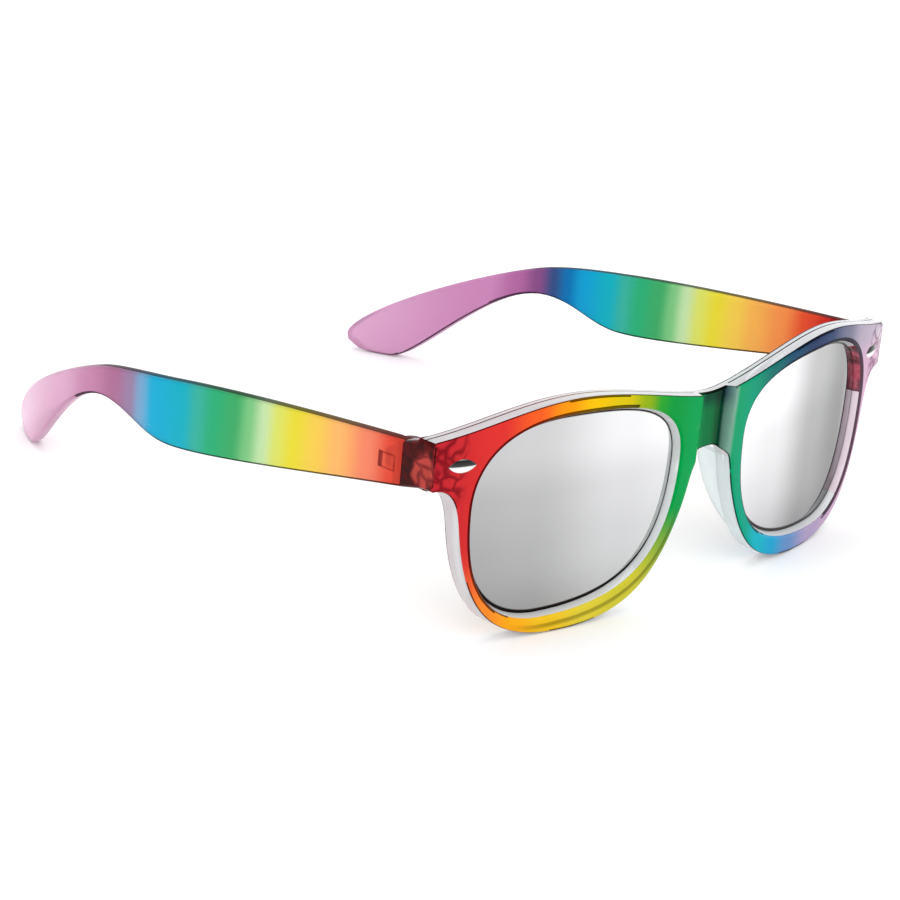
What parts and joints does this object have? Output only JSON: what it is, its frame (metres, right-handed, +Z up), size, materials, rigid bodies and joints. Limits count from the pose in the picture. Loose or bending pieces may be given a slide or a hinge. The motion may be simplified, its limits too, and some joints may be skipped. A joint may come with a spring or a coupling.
{
  "type": "sunglasses",
  "caption": "Mirrored sunglasses with a moulded plastic frame, a recessed bridge, moulded nose pads and folding temples on screw hinges.",
  "frame": {"origin": "middle of the footprint of the open sunglasses, on the table they stand on", "axes": "+Z up, +Y from the front towards the temple tips, +X towards the wearer's left"},
  "size_m": [0.1466, 0.1552, 0.049],
  "materials": {
    "frame_plastic": "clear plastic with a transparent rainbow lacquer on its outer faces, polished",
    "mirror_lens": "silver mirror coating",
    "screw_steel": "turned",
    "trim_silver": "polished"
  },
  "bodies": {
    "front": {"front_frame": "frame_plastic", "lens_right": "mirror_lens", "lens_left": "mirror_lens", "hinge_screw_right": "screw_steel", "hinge_screw_left": "screw_steel", "trim_right": "trim_silver", "trim_left": "trim_silver"},
    "temple_right": {"temple_right": "frame_plastic"},
    "temple_left": {"temple_left": "frame_plastic"}
  },
  "joints": [
    {"name": "temple_right_hinge", "type": "hinge", "parent": "front", "child": "temple_right", "pos_m": [-0.0677, -0.056, 0.0364], "axis": [0, 0, -1], "range_deg": [0, 87]},
    {"name": "temple_left_hinge", "type": "hinge", "parent": "front", "child": "temple_left", "pos_m": [0.0677, -0.056, 0.0364], "axis": [0, 0, 1], "range_deg": [0, 81]}
  ]
}
